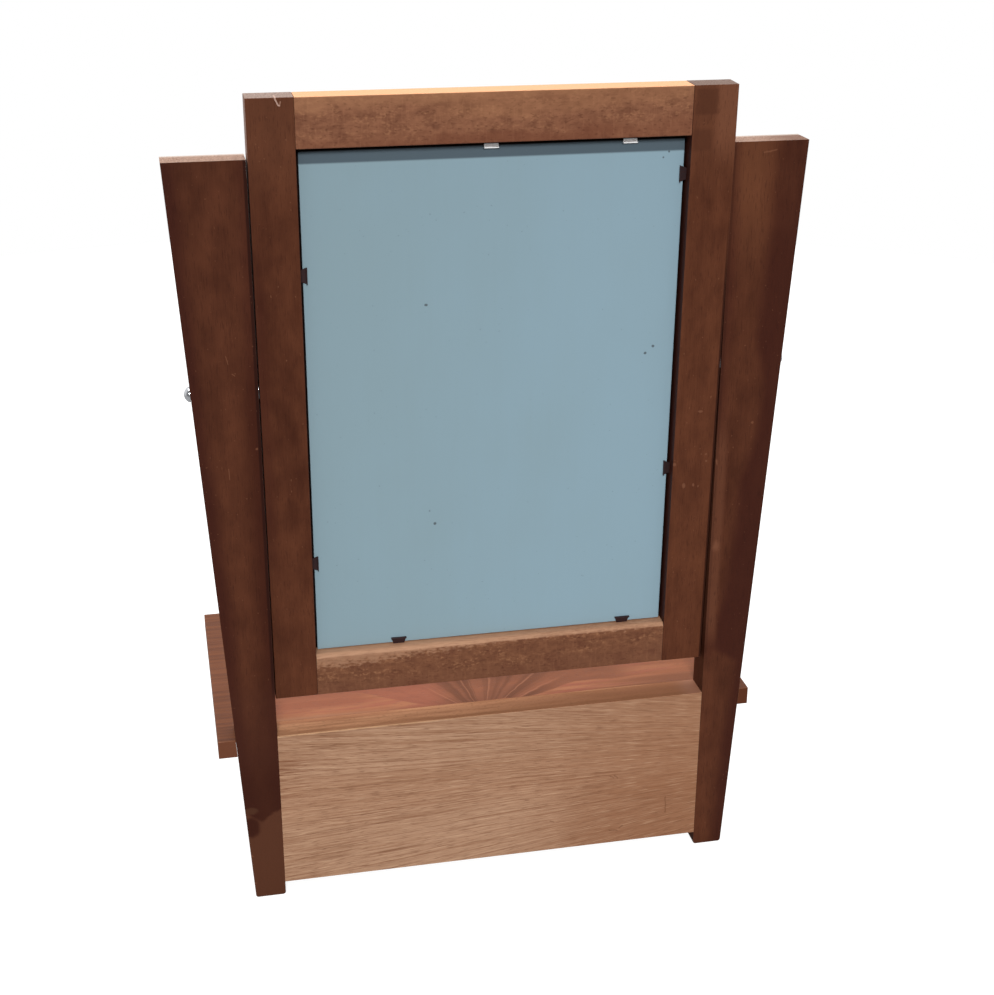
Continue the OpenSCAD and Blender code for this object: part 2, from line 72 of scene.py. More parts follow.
# Marks on the rear faces, in mm
# Blots: x and z of the middle, width, height, and how soft the edge is if not 0.5
# Scratches: x and z of both ends, and width
# Stains: x and z of the middle, width and height, and how wide the soft edge is
UPRIGHT_BLOTS = (
    (-207.4, 323.8, 10.0, 17.0, 0.9),
    (-203.6, 407.3, 3.0, 9.0),
    (-234.6, 443.8, 4.0, 3.0),
    (205.9, 451.3, 3.0, 3.0),
    (229.5, 15.4, 4.0, 2.0, 0.8),
)
UPRIGHT_SCRATCHES = (
    ((227.1, 534.0), (225.6, 527.0), 0.5),
    ((222.8, 518.5), (220.6, 516.8), 0.6),
    ((230.4, 435.0), (230.0, 425.0), 0.5),
    ((231.9, 47.5), (230.6, 45.5), 0.7),
)
UPRIGHT_RUB = ((-240.0, 686.6), (-229.0, 684.6), 0.9)
FOOT_BLOT = (229.5, 95.0, 16.0, 9.0)
FOOT_LOBE = (231.0, 77.5, 23.0, 28.0, 0.45)
STILE_STAINS = (
    ((-174.5, 729.0), (16.0, 18.0), 3.0),
    ((-171.8, 698.0), (11.0, 13.0), 5.0),
)
STILE_BLOTS = (
    (-164.3, 407.3, 4.5, 4.5),
    (-174.3, 385.9, 4.0, 7.0),
    (-183.1, 385.8, 2.5, 4.0),
    (-187.7, 384.1, 2.0, 3.0),
    (-193.5, 415.4, 2.5, 2.5),
    (-193.9, 408.5, 2.5, 2.5),
    (-185.5, 456.7, 6.0, 2.5),
)
STILE_HOOK = (
    ((178.2, 746.0), (177.4, 741.0), 1.0),
    ((177.4, 741.0), (175.2, 736.4), 0.8),
    ((175.2, 736.4), (174.2, 736.2), 0.8),
)
STILE_BARB = ((174.2, 736.2), (173.4, 739.2), 0.7)
RAIL_KNOT = (51.0, 716.0, 11.0, 8.0, 0.8)
BOARD_SCRATCHES = (
    ((-170.7, 58.4), (-171.3, 41.1), 1.0),
    ((-114.0, 89.5), (-117.5, 87.0), 1.0),
    ((-118.0, 89.5), (-121.0, 86.5), 1.0),
    ((-114.5, 28.0), (-122.5, 26.0), 1.0),
    ((-125.0, 29.0), (-128.0, 31.5), 1.0),
    ((-55.0, 46.5), (-58.5, 44.5), 1.0),
)
BACKING_SPECKS = (
    (58.6, 566.0, 3.4, 2.6, 0.3),
    (-134.9, 511.5, 3.0, 3.0, 0.3),
    (-141.8, 517.5, 3.0, 3.0, 0.3),
    (52.3, 363.6, 3.2, 3.2, 0.3),
    (-147.2, 687.3, 2.6, 2.6, 0.6),
    (-142.4, 682.7, 2.2, 2.2, 0.6),
    (57.0, 376.2, 2.0, 2.4, 0.9),
)


def srgb(red, green, blue):
    """A linear colour from the 0 to 255 values of a screen colour."""
    def linear(value):
        value /= 255
        return value / 12.92 if value <= 0.04045 else ((value + 0.055) / 1.055) ** 2.4
    return (linear(red), linear(green), linear(blue), 1.0)


# Painted shade: the dark colour of the narrow shut seam between an upright and a stile
SEAM_SHADE_COLOUR = srgb(36, 15, 11)  # the shut seam between an upright and a stile


class Finish:
    """One procedural material. Its methods add nodes, link them and return their output sockets.

    Places and lengths are in mm. A mask is 1 where something shows and 0 where it doesn't.
    """

    def __init__(self, name, specular, metallic=0.0):
        self.material = bpy.data.materials.new(name)
        self.material.use_nodes = True
        self.tree = self.material.node_tree
        self.tree.nodes.clear()
        self.shader = self.tree.nodes.new("ShaderNodeBsdfPrincipled")
        out = self.tree.nodes.new("ShaderNodeOutputMaterial")
        self.tree.links.new(self.shader.outputs["BSDF"], out.inputs["Surface"])
        self.shader.inputs["Specular IOR Level"].default_value = specular
        self.shader.inputs["Metallic"].default_value = metallic
        coordinates = self.tree.nodes.new("ShaderNodeTexCoord")
        self.facing = coordinates.outputs["Normal"]
        self.place = self.vector("MULTIPLY", coordinates.outputs["Object"], (MM,) * 3)
        self.x, self.y, self.z = self.split(self.place)

    def put(self, socket, value):
        if isinstance(value, bpy.types.NodeSocket):
            self.tree.links.new(value, socket)
        else:
            socket.default_value = value

    def node(self, kind, values, output=0, **settings):
        """Adds a node. values maps its inputs to constants or to the outputs of other nodes."""
        node = self.tree.nodes.new(kind)
        for key, value in settings.items():
            setattr(node, key, value)
        for key, value in values.items():
            self.put(node.inputs[key], value)
        return node.outputs[output]

    # Arithmetic

    def vector(self, operation, a, b, c=None):
        values = {0: a, 1: b} if c is None else {0: a, 1: b, 2: c}
        return self.node("ShaderNodeVectorMath", values, operation=operation)

    def length(self, vector):
        return self.node("ShaderNodeVectorMath", {0: vector}, output=1, operation="LENGTH")

    def dot(self, a, b):
        return self.node("ShaderNodeVectorMath", {0: a, 1: b}, output=1, operation="DOT_PRODUCT")

    def split(self, vector):
        node = self.tree.nodes.new("ShaderNodeSeparateXYZ")
        self.tree.links.new(vector, node.inputs[0])
        return tuple(node.outputs)

    def join(self, x, y, z):
        return self.node("ShaderNodeCombineXYZ", {0: x, 1: y, 2: z})

    def math(self, operation, a, b=0.0, clamp=False):
        return self.node("ShaderNodeMath", {0: a, 1: b}, operation=operation, use_clamp=clamp)

    def total(self, first, *others):
        for other in others:
            first = self.math("ADD", first, other)
        return first

    def times(self, first, *others):
        """The product. Of masks, it is the mask where they all are 1."""
        for other in others:
            first = self.math("MULTIPLY", first, other)
        return first

    def strongest(self, first, *others):
        for other in others:
            first = self.math("MAXIMUM", first, other)
        return first

    def rest(self, mask):
        """The mask of all that the given one leaves out."""
        return self.math("SUBTRACT", 1.0, mask)

    def away(self, value, middle=0.0):
        """How far the value is from the middle, to either side."""
        return self.math("ABSOLUTE", self.math("SUBTRACT", value, middle) if middle else value)

    def between(self, value, low, high, to_low=0.0, to_high=1.0):
        """A smooth step of the value from low to high."""
        values = {"Value": value, "From Min": low, "From Max": high, "To Min": to_low, "To Max": to_high}
        return self.node("ShaderNodeMapRange", values, interpolation_type="SMOOTHSTEP", clamp=True)

    def window(self, value, start, full_from, full_to, end):
        """1 from full_from to full_to, and less and less towards start and end."""
        return self.times(self.between(value, start, full_from), self.between(value, end, full_to))

    def mix(self, factor, a, b):
        values = {0: factor, 6: a, 7: b}
        return self.node("ShaderNodeMix", values, output=2, data_type="RGBA", clamp_factor=True)

    # Noise

    def noise(self, place, detail, roughness=0.5):
        values = {"Vector": place, "Scale": 1.0, "Detail": detail, "Roughness": roughness}
        return self.node("ShaderNodeTexNoise", values)

    def noise_line(self, value, detail):
        """Noise along one value, such as a distance."""
        values = {"W": value, "Scale": 1.0, "Detail": detail, "Roughness": 0.5}
        return self.node("ShaderNodeTexNoise", values, noise_dimensions="1D")

    def cloud(self, scale, detail, roughness=0.5):
        """Noise that is alike in all directions, with that many features in a mm."""
        return self.noise(self.vector("MULTIPLY", self.place, (scale,) * 3), detail, roughness)

    def grain(self, along, across, length, seed=0.0):
        """The place in features of the grain, each that many mm across and that many long."""
        scale = [1 / across] * 3
        scale[along] = 1 / length
        return self.vector("MULTIPLY_ADD", self.place, scale, (seed, seed * 1.7, seed * 0.6))

    def swing(self, place, amount, detail=2.0):
        """Noise from minus to plus about that amount."""
        return self.times(self.math("SUBTRACT", self.noise(place, detail), 0.5), 2 * amount)

    def ragged(self, amount, size):
        """The place, moved about by noise of that size, for marks with uneven edges."""
        values = {"Vector": self.grain(Z, size, size, 3.0), "Scale": 1.0, "Detail": 3.0}
        colour = self.node("ShaderNodeTexNoise", values, output=1)
        offset = self.vector("MULTIPLY", self.vector("SUBTRACT", colour, (0.5,) * 3), (2 * amount,) * 3)
        return self.vector("ADD", self.place, offset)

    # Marks on a face that looks to the rear

    def blot(self, place, x, z, wide, high, soft=0.5):
        """A soft ellipse."""
        moved = self.vector("SUBTRACT", place, (x, 0.0, z))
        unit = self.vector("MULTIPLY", moved, (2 / wide, 0.0, 2 / high))
        return self.between(self.length(unit), 1.0, 1.0 - soft)

    def slab(self, place, middle, size, soft):
        """A soft-edged rectangle."""
        x, _, z = self.split(self.vector("SUBTRACT", place, (middle[0], 0.0, middle[1])))
        wide, high = (self.between(self.away(value), length / 2 + soft, length / 2)
                      for value, length in ((x, size[0]), (z, size[1])))
        return self.times(wide, high)

    def scratch(self, place, start, end, width):
        """A thin line from one (x, z) to another."""
        run = Vector((end[0] - start[0], 0.0, end[1] - start[1]))
        moved = self.vector("SUBTRACT", place, (start[0], 0.0, start[1]))
        share = self.math("MULTIPLY", self.dot(moved, run / run.length_squared), 1.0, clamp=True)
        along = self.node("ShaderNodeVectorMath", {0: tuple(run), 3: share}, operation="SCALE")
        apart = self.vector("MULTIPLY", self.vector("SUBTRACT", moved, along), (1.0, 0.0, 1.0))
        return self.between(self.length(apart), width, width * 0.3)

    def every(self, mark, place, rows):
        """All marks of one kind, from their rows of values."""
        return self.strongest(*(mark(place, *row) for row in rows))

    def behind(self, mask, y):
        """The mask, but only to the rear of that y, so that it doesn't show in front."""
        return self.times(mask, self.between(self.y, y - 1.0, y + 1.0))

    # Masks from the surface's direction

    def edges(self, radius):
        """1 on the arrises and 0 on the faces, from the angle to a rounded normal."""
        round_normal = self.node("ShaderNodeBevel", {"Radius": radius / MM}, samples=4)
        flat = self.node("ShaderNodeNewGeometry", {}, output="Normal")
        return self.between(self.rest(self.dot(round_normal, flat)), 0.02, 0.25)

    def faces(self, axis, low=0.6, high=0.9):
        """1 where the surface looks along that axis, to either side."""
        return self.between(self.away(self.split(self.facing)[axis]), low, high)

    def upward(self, low=0.6, high=0.9):
        return self.between(self.split(self.facing)[Z], low, high)

    def close(self, colour, roughness, height=None, depth=0.05):
        """Ends the material: colour, roughness, and a bump whose height of 1 is that depth."""
        self.put(self.shader.inputs["Base Color"], colour)
        self.put(self.shader.inputs["Roughness"], roughness)
        if height is not None:
            values = {"Height": height, "Strength": 1.0, "Distance": depth / MM}
            self.put(self.shader.inputs["Normal"], self.node("ShaderNodeBump", values))
        return self.material


class Wood(Finish):
    """A stained or bare board: growth layers, fibres, pores and flecks that run along one axis."""

    # Features of the grain: mm across and mm along
    FIBRE_SIZE = (0.9, 45.0)
    BROAD_SIZE = (60.0, 420.0)
    WARP_SIZE = (60.0, 160.0)
    FLECK_PATCH_SIZE = (9.0, 26.0)
    RUBBED_SIZE = (6.0, 30.0)

    def __init__(self, name, along, light, dark, *, seed, broad, mottle, rings, ring_gap, warp, fibre,
                 specular=0.15, blotch=(11.0, 34.0), pith=(300.0, -400.0), fan=None):
        """broad, mottle, rings and fibre say how much each changes the tone from dark to light."""
        super().__init__(name, specular)
        self.along = along
        self.seed = seed
        self.fibres = self.noise(self.grain(along, *self.FIBRE_SIZE, seed), 2.0, 0.6)
        self.distance = self.growth(warp, pith, fan)
        layers = self.noise_line(self.math("DIVIDE", self.distance, ring_gap), 3.0)
        tone = self.total(
            0.5,
            self.swing(self.grain(along, *self.BROAD_SIZE, seed + 1), broad),
            self.swing(self.grain(along, *blotch, seed + 2), mottle, 4.0),
            self.times(self.math("SUBTRACT", layers, 0.5), 2 * rings),
            self.times(self.math("SUBTRACT", self.fibres, 0.5), 2 * fibre),
        )
        self.colour = self.mix(self.between(tone, 0.0, 1.0), dark, light)
        self.height = self.times(self.fibres, 0.35)

    def growth(self, warp, pith, fan):
        """The warped distance from a pith line. With a fan, the lines of a board spread from that (x, z)."""
        if fan:
            spread = self.math("DIVIDE", -fan[0], self.math("SUBTRACT", self.x, fan[0]))
            distance = self.times(self.math("SUBTRACT", self.z, fan[1]), spread)
        else:
            keep = [1.0] * 3
            keep[self.along] = 0.0
            away = [-value for value in pith]
            away.insert(self.along, 0.0)
            distance = self.length(self.vector("MULTIPLY_ADD", self.place, keep, away))
        wander = self.swing(self.grain(self.along, *self.WARP_SIZE, self.seed + 4), warp, 3.0)
        return self.total(distance, wander)

    def strokes(self, across, length, seed, low, high):
        """1 on thin strokes that follow the growth lines, and 0 between them."""
        axes = [self.math("DIVIDE", self.distance, across)] * 3
        axes[self.along] = self.math("DIVIDE", (self.x, self.y, self.z)[self.along], length)
        axes[(self.along + 1) % 3] = seed
        return self.between(self.noise(self.join(*axes), 2.0), low, high)

    def pores(self, colour, across, length, amount, low=0.6, high=0.7):
        """Short dark vessel lines."""
        dots = self.between(self.noise(self.grain(self.along, across, length, self.seed + 5), 1.0), low, high)
        self.paint(dots, colour, amount)
        self.height = self.math("SUBTRACT", self.height, dots)

    def flecks(self, colour, across, length, low, high, amount, where):
        """Short pale flecks, thicker in some patches than in others."""
        dots = self.between(self.noise(self.grain(self.along, across, length, self.seed + 6), 1.0), low, high)
        patches = self.noise(self.grain(self.along, *self.FLECK_PATCH_SIZE, self.seed + 7), 2.0)
        self.paint(self.times(dots, self.between(patches, 0.35, 0.6), where), colour, amount)

    def nicks(self, size, colour):
        """A few small scattered nicks of that width and height."""
        nicks = self.between(self.noise(self.grain(Z, *size, self.seed + 10), 0.0), 0.8, 0.86)
        self.paint(nicks, colour, 0.35)

    def end_grain(self, colour, deep):
        """The cut ends of the board, speckled with open pores."""
        end = self.mix(self.between(self.cloud(1.1, 3.0, 0.7), 0.38, 0.62), deep, colour)
        self.paint(self.faces(self.along), end)

    def worn(self, colour, radius, amount):
        """Arrises rubbed paler or darker, more in some places than in others."""
        rubbed = self.swing(self.grain(self.along, *self.RUBBED_SIZE, self.seed + 8), 0.12, 3.0)
        self.paint(self.math("MULTIPLY", self.edges(radius), self.total(rubbed, amount), clamp=True), colour)

    def paint(self, mask, colour, amount=1.0):
        self.colour = self.mix(mask if amount == 1.0 else self.times(mask, amount), self.colour, colour)

    def done(self, roughness):
        rough = self.total(roughness, self.times(self.math("SUBTRACT", self.fibres, 0.5), 0.12))
        return self.close(self.colour, rough, self.height)


# The materials


def upright_wood():
    """Dark stained uprights, darker along both edges, with one matt patch of stain on a foot."""
    wood = Wood("dark_stained_upright", Z, srgb(100, 57, 38), srgb(57, 27, 17), seed=2.0, specular=0.07,
                broad=0.22, mottle=0.34, blotch=(15.0, 28.0), rings=0.1, ring_gap=6.0, warp=9.0, fibre=0.1)
    # Distances from the sloping outer edge and from the inner edge
    slope = (UPRIGHT_TOP_X - UPRIGHT_FOOT_X) / UPRIGHT_TOP
    side = wood.away(wood.x)
    outer = wood.total(UPRIGHT_FOOT_X, wood.times(wood.z, slope), wood.times(side, -1.0))
    inner = wood.math("SUBTRACT", side, INNER_X)
    wander = wood.swing(wood.grain(Z, 30.0, 120.0, 9.0), 5.0)
    rough_inner = wood.total(inner, wander)
    # The uprights at +X and at -X, and the lighter lower end of the second
    right = wood.between(wood.x, -1.0, 1.0)
    left = wood.between(wood.x, 1.0, -1.0)
    left_low = wood.times(left, wood.between(wood.z, 222.0, 200.0))
    rear = REAR - 8.0

    # The dark rim along the outer edge: at -X it is wider, apart from its waist and its foot
    waist = wood.between(wood.away(wood.z, 455.0), 75.0, 15.0, 0.0, 10.0)
    foot = wood.between(wood.z, 330.0, 240.0, 0.0, -7.0)
    narrower = wood.times(wood.total(waist, foot, wood.times(left_low, 22.0), -15.0), left)
    rim = wood.between(wood.total(outer, wander, 9.0, narrower), 26.0, 12.0)
    faded = wood.times(left, wood.between(wood.z, 580.0, 680.0, 0.0, 0.45))
    wood.paint(wood.times(rim, wood.rest(faded)), srgb(60, 27, 20), 0.8)

    # The inner edge: warm at the top of one upright, painted shade of the frame, a band of painted shade along
    # the shut seam and dark painted shade in the seam itself
    warm = wood.times(wood.between(rough_inner, 42.0, 22.0), wood.between(wood.z, 560.0, 660.0), left)
    wood.paint(warm, srgb(118, 72, 48), 0.5)
    # Painted shade: a soft dark band along the seam beside the mirror frame
    seam_shade = wood.times(wood.between(rough_inner, 14.0, 2.0), wood.rest(left_low))
    wood.paint(seam_shade, srgb(68, 32, 23), 0.55)
    shaded = wood.times(wood.between(rough_inner, 28.0, 3.0), wood.between(wood.z, 570.0, 490.0), right)
    wood.paint(shaded, srgb(54, 22, 13), 0.55)
    strip = wood.times(wood.window(wood.z, 215.0, 250.0, 410.0, 470.0), wood.between(rough_inner, 13.0, 7.0))
    wood.paint(wood.times(strip, left), srgb(106, 64, 45), 0.65)
    # Painted shade: the inner face and its arris, deep in the narrow seam beside the frame
    shut_shade = wood.between(wood.total(inner, wood.times(wander, 0.06)), 3.2, 2.0)
    shut_shade = wood.times(shut_shade, wood.between(wood.x, -1.0, 1.0, 0.35, 1.0), wood.between(wood.z, 204.0, 220.0))
    wood.paint(shut_shade, SEAM_SHADE_COLOUR, 0.75)
    wood.pores(srgb(48, 22, 16), across=0.8, length=9.0, amount=0.3)
    wood.nicks((1.6, 2.8), srgb(122, 78, 56))

    # The foot at +X: darker than the rest, with a blot and a patch whose ragged upper edge is a shallow V
    place = wood.ragged(2.8, 8.0)
    ragged_x, _, ragged_z = wood.split(place)
    brim = wood.total(83.5, wood.times(wood.away(ragged_x, 220.5), 0.7), wood.times(ragged_z, -1.0))
    bare = wood.rest(wood.blot(place, *FOOT_LOBE))
    patch = wood.times(wood.between(brim, -2.0, 3.0), right, bare)
    wood.paint(wood.times(wood.between(wood.z, 190.0, 130.0), right), srgb(60, 29, 20), 0.75)
    wood.paint(wood.behind(wood.blot(place, *FOOT_BLOT), rear), srgb(80, 50, 35), 0.8)
    wood.paint(wood.behind(patch, rear), srgb(90, 54, 38), 0.85)

    light = wood.strongest(wood.every(wood.blot, place, UPRIGHT_BLOTS), wood.scratch(place, *UPRIGHT_RUB),
                           wood.every(wood.scratch, wood.place, UPRIGHT_SCRATCHES))
    wood.paint(wood.behind(light, rear), srgb(132, 86, 63), 0.45)
    dusk = wood.times(wood.window(wood.z, 125.0, 155.0, 205.0, 235.0), right)
    wood.paint(wood.behind(dusk, rear), srgb(70, 37, 27), 0.45)

    # The top ends, browner at -X and palest along the front
    wood.end_grain(srgb(190, 156, 136), srgb(124, 90, 74))
    wood.paint(wood.times(wood.faces(Z), wood.between(wood.x, -215.0, -262.0)), srgb(108, 72, 54), 0.75)
    front = wood.between(wood.y, REAR - 20.0, REAR - 25.0)
    wood.paint(wood.times(wood.upward(), front), srgb(222, 208, 196), 0.6)
    wood.worn(srgb(96, 60, 44), radius=1.2, amount=0.25)
    return wood.done(0.45)


def stile_wood():
    """Stained stiles of the mirror frame, a little warmer than the uprights."""
    wood = Wood("dark_stained_stile", Z, srgb(107, 62, 41), srgb(62, 30, 19), seed=11.0, specular=0.07,
                broad=0.24, mottle=0.3, blotch=(12.0, 24.0), rings=0.1, ring_gap=6.0, warp=8.0, fibre=0.1)
    marks_rear = REAR - 13.0
    hook_rear = REAR - 3.0
    wood.paint(wood.between(wood.z, 640.0, 720.0), srgb(112, 70, 50), 0.35)
    corner = wood.times(wood.between(wood.x, -178.0, -188.0), wood.between(wood.z, 670.0, 710.0))
    wood.paint(corner, srgb(126, 80, 58), 0.55)
    wood.pores(srgb(54, 26, 18), across=0.8, length=8.0, amount=0.3)
    wood.nicks((1.6, 2.6), srgb(134, 88, 64))
    place = wood.ragged(1.0, 5.0)
    stains = wood.every(wood.slab, place, STILE_STAINS)
    wood.paint(wood.behind(stains, marks_rear), srgb(78, 44, 30), 0.55)
    pale = wood.every(wood.blot, place, STILE_BLOTS)
    wood.paint(wood.behind(pale, marks_rear), srgb(132, 88, 66), 0.5)

    # The outer face: painted light where it stands clear above the uprights, painted shade in the seam beside
    # them
    outside = wood.times(wood.faces(X), wood.between(wood.away(wood.x), 190.0, 195.0))
    clear = wood.between(wood.z, UPRIGHT_TOP - 4.0, UPRIGHT_TOP)
    wood.paint(wood.times(outside, clear), srgb(168, 126, 108), 0.8)
    wood.paint(wood.times(outside, wood.rest(clear)), SEAM_SHADE_COLOUR, 0.8)
    # Painted shade along the outer arris at -X, low in the seam beside the upright
    shut_shade = wood.times(wood.between(wood.x, -198.9, -200.0), wood.between(wood.z, 660.0, 560.0))
    wood.paint(shut_shade, SEAM_SHADE_COLOUR, 0.8)
    # Painted shade along the outer rear arris at +X, over the middle of its height
    shade = wood.times(wood.between(wood.x, 188.0, 198.0), wood.window(wood.z, 310.0, 370.0, 560.0, 640.0))
    wood.paint(shade, srgb(66, 31, 22), 0.5)
    # Painted shade on the side faces of the rebate, towards the opening
    rebate_shade = wood.times(wood.faces(X), wood.between(wood.away(wood.x), 168.0, 165.0))
    wood.paint(rebate_shade, srgb(62, 30, 26), 0.8)

    # The top ends, browner at -X, and a hook-shaped scratch under one of them
    wood.end_grain(srgb(176, 152, 140), srgb(118, 96, 86))
    wood.paint(wood.times(wood.faces(Z), wood.between(wood.x, -150.0, -160.0)), srgb(96, 70, 58), 0.65)
    hook = wood.every(wood.scratch, wood.place, STILE_HOOK)
    wood.paint(wood.behind(hook, hook_rear), srgb(206, 172, 156), 0.7)
    wood.paint(wood.behind(wood.scratch(wood.place, *STILE_BARB), hook_rear), srgb(180, 140, 120), 0.5)
    wood.worn(srgb(128, 82, 60), radius=1.4, amount=0.15)
    return wood.done(0.45)


def rail_wood(name, seed, light, dark, smooth, low, high):
    """A mid brown rail from the height low to high, flecked and blotched above and smoother below.

    It comes with its wandering height, for more paint.
    """
    wood = Wood(name, X, light, dark, seed=seed, specular=0.1,
                broad=0.2, mottle=0.42, blotch=(5.0, 8.0), rings=0.06, ring_gap=6.0, warp=7.0, fibre=0.1)
    wander = wood.swing(wood.grain(X, 16.0, 46.0, seed + 11), 12.0)
    raised = wood.total(wood.z, wander, wood.times(wood.x, 0.035))
    upper = wood.between(raised, low + 0.12 * (high - low), low + 0.55 * (high - low))
    wood.paint(wood.rest(upper), smooth, 0.6)
    clouds = wood.between(wood.noise(wood.grain(X, 7.0, 13.0, seed + 3), 3.0), 0.5, 0.68)
    wood.paint(clouds, srgb(92, 52, 38), 0.4)
    across = wood.between(wood.noise(wood.grain(Z, 2.2, 16.0, seed + 5), 2.0), 0.52, 0.7)
    wood.paint(across, light, 0.3)
    wood.flecks(srgb(170, 120, 86), across=2.1, length=3.2, low=0.48, high=0.74, amount=0.45,
                where=wood.math("MAXIMUM", upper, 0.25))
    wood.pores(srgb(82, 45, 31), across=1.6, length=3.6, amount=0.5, low=0.56, high=0.78)
    return wood, raised


def top_rail_wood():
    """The top rail, paler towards its upper edge, with a knot and a bare top face."""
    low, high = heights("top_rail")
    wood, raised = rail_wood("flecked_top_rail", 41.0, srgb(152, 103, 76), srgb(103, 62, 45), srgb(122, 75, 54),
                             low, high)
    wood.paint(wood.between(raised, high - 10.0, high - 2.0), srgb(172, 122, 88), 0.45)
    # Painted light on the upper part of the rail's rear face, towards -X
    lit = wood.times(wood.between(raised, high - 24.0, high - 12.0), wood.between(wood.x, 70.0, 20.0))
    wood.paint(lit, srgb(172, 122, 86), 0.25)
    knot = wood.blot(wood.ragged(1.5, 4.0), *RAIL_KNOT)
    wood.paint(wood.behind(knot, REAR - 8.0), srgb(84, 46, 34), 0.5)
    middle = wood.times(wood.between(wood.away(wood.x), 110.0, 70.0),
                        wood.between(raised, low + 17.0, low + 11.0),
                        wood.between(wood.z, low + 2.0, low + 5.0))
    wood.paint(middle, srgb(108, 62, 44), 0.4)
    wood.paint(wood.upward(0.5, 0.8), srgb(240, 177, 132))
    wood.worn(srgb(150, 100, 74), radius=1.2, amount=0.15)
    return wood.done(0.5)


def bottom_rail_wood():
    """The bottom rail, with its upper rear edge worn bare, most towards +X."""
    low, high = heights("bottom_rail")
    edge = high - 8.0
    bare = srgb(184, 140, 110)
    wood, _ = rail_wood("flecked_bottom_rail", 47.0, srgb(136, 90, 64), srgb(88, 52, 37), srgb(114, 73, 53),
                        low, edge)
    worn = wood.between(wood.noise(wood.grain(X, 1.1, 12.0, 23.0), 2.0), 0.3, 0.6, 0.55, 0.95)
    turn = wood.total(wood.split(wood.facing)[Z], wood.swing(wood.grain(X, 3.0, 8.0, 4.0), 0.12, 3.0))
    turn = wood.times(wood.between(turn, 0.22, 0.5), wood.between(wood.x, -120.0, 100.0, 0.75, 1.0))
    wood.paint(wood.times(turn, worn), bare)
    depth = wood.between(wood.x, -60.0, 160.0, 1.0, 12.0)
    ragged = wood.total(wood.z, depth, wood.swing(wood.grain(X, 2.0, 4.0, 9.0), 12.0, 4.0))
    wood.paint(wood.times(wood.between(ragged, edge - 4.0, edge + 4.0), worn), bare, 0.6)
    wood.worn(srgb(150, 100, 74), radius=1.2, amount=0.15)
    return wood.done(0.5)


def back_board_wood():
    """Pale brown back board whose lines draw together towards -X, with a browner upper face."""
    wood = Wood("pale_back_board", X, srgb(199, 160, 131), srgb(152, 110, 82), seed=21.0, specular=0.1,
                broad=0.2, mottle=0.1, blotch=(3.0, 60.0), rings=0.24, ring_gap=4.0, warp=3.0,
                fibre=0.12, fan=(-600.0, 95.0))
    # The rear face
    wood.paint(wood.between(wood.x, 40.0, -200.0), srgb(146, 96, 66), 0.55)
    corner = wood.times(wood.between(wood.x, -30.0, -120.0), wood.between(wood.z, 95.0, 70.0))
    wood.paint(corner, srgb(138, 88, 58), 0.4)
    wood.paint(wood.between(wood.away(wood.z, 100.0), 36.0, 10.0), srgb(158, 110, 80), 0.25)
    wood.paint(wood.strokes(2.2, 280.0, 35.0, 0.56, 0.7), srgb(120, 76, 52), 0.4)
    wood.paint(wood.strokes(1.3, 62.0, 3.0, 0.5, 0.7), srgb(118, 76, 52), 0.5)
    wood.paint(wood.strokes(0.8, 12.0, 9.0, 0.52, 0.7), srgb(104, 64, 44), 0.5)
    wood.paint(wood.strokes(1.0, 24.0, 15.0, 0.52, 0.72), srgb(212, 174, 142), 0.45)
    wood.paint(wood.strokes(2.4, 130.0, 19.0, 0.5, 0.68), srgb(132, 86, 60), 0.35)
    end = wood.times(wood.between(wood.x, 160.0, 200.0), wood.strokes(1.4, 30.0, 27.0, 0.45, 0.6),
                     wood.window(wood.z, 90.0, 120.0, 146.0, 158.0))
    wood.paint(end, srgb(112, 62, 38), 0.6)
    scratches = wood.every(wood.scratch, wood.ragged(1.2, 4.0), BOARD_SCRATCHES)
    wood.paint(wood.behind(scratches, REAR - 5.0), srgb(104, 64, 44), 0.45)

    # The upper face
    up = wood.upward(0.5, 0.8)
    face = wood.mix(wood.between(wood.x, 200.0, -200.0), srgb(202, 146, 108), srgb(150, 98, 68))
    streak = wood.noise(wood.grain(X, 4.0, 50.0, 6.0), 4.0)
    face = wood.mix(wood.between(streak, 0.42, 0.62, 0.0, 0.5), face, srgb(148, 98, 66))
    speck = wood.noise(wood.grain(X, 1.4, 4.0, 16.0), 2.0)
    face = wood.mix(wood.between(speck, 0.55, 0.72, 0.0, 0.45), face, srgb(124, 82, 54))
    wood.paint(up, face)
    # Painted shade of the mirror: a browner band on the upper face along its rear arris
    rim = wood.total(wood.y, wood.swing(wood.grain(X, 6.0, 25.0, 12.0), 2.5))
    wood.paint(wood.times(wood.between(rim, REAR - 8.0, REAR - 4.0), up), srgb(132, 86, 56), 0.45)
    front = wood.times(wood.between(wood.y, REAR - 24.0, REAR - 26.5), up)
    wood.paint(wood.times(front, wood.window(wood.x, -165.0, -140.0, -100.0, -70.0)), srgb(200, 150, 112), 0.45)
    front = wood.times(wood.between(wood.y, REAR - 18.0, REAR - 21.0), up)
    wood.paint(wood.times(front, wood.between(wood.x, 75.0, 110.0)), srgb(160, 104, 74), 0.6)
    wood.paint(wood.times(up, wood.between(wood.x, -176.0, -196.0)), srgb(160, 112, 90), 0.7)
    wood.end_grain(srgb(190, 150, 118), srgb(140, 100, 74))

    # The rear upper arris: worn bright towards +X, over a thin dark line
    bright = wood.between(wood.x, -30.0, 110.0, 0.0, 0.55)
    ragged = wood.between(wood.noise(wood.grain(X, 2.0, 9.0, 18.0), 2.0), 0.3, 0.45)
    worn = wood.times(bright, ragged)
    arris = wood.times(wood.between(wood.z, TOP - 1.3, TOP - 0.8), wood.between(wood.y, REAR - 1.3, REAR - 0.8))
    wood.paint(wood.times(arris, worn), srgb(212, 166, 126))
    under = wood.window(wood.z, TOP - 3.4, TOP - 2.6, TOP - 2.0, TOP - 1.4)
    wood.paint(wood.times(under, worn), srgb(120, 78, 54), 0.5)
    return wood.done(0.6)


